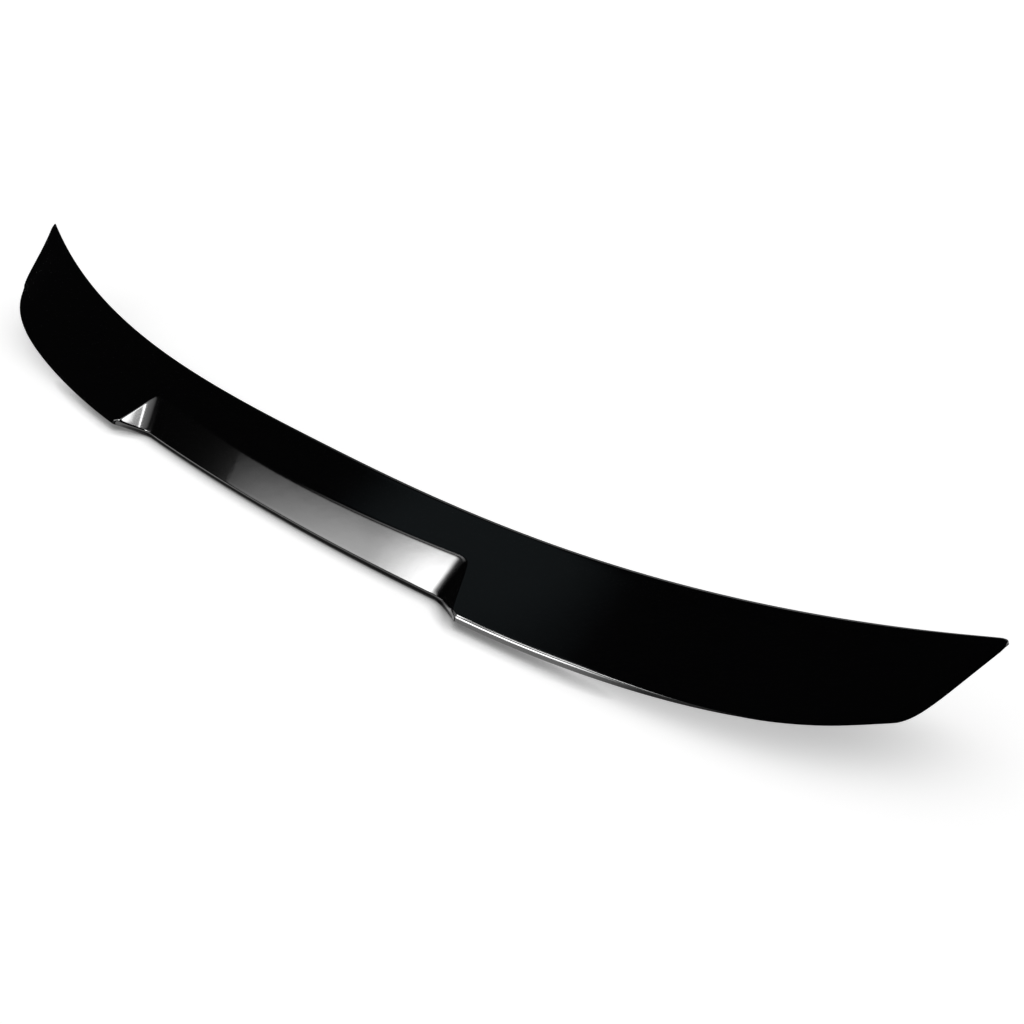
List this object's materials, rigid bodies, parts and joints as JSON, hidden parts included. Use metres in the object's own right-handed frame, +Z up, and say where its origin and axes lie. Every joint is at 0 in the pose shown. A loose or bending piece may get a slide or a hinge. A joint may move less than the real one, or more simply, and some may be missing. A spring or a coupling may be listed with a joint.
{
  "type": "car boot spoiler",
  "caption": "Gloss black lip spoiler for a car's boot lid: a thin hollow moulding with raised pointed ends, a sharp lip and a steeper panel in the middle of its rear face.",
  "frame": {"origin": "under the middle of the part's box, on the level it rests on", "axes": "+X along the spoiler to the right seen from behind the car, +Y to the front of the car, +Z up"},
  "size_m": [1.201, 0.1552, 0.0901],
  "materials": {
    "black_gloss": "high gloss black"
  },
  "bodies": {
    "root": {"spoiler_shell": "black_gloss"}
  },
  "joints": []
}
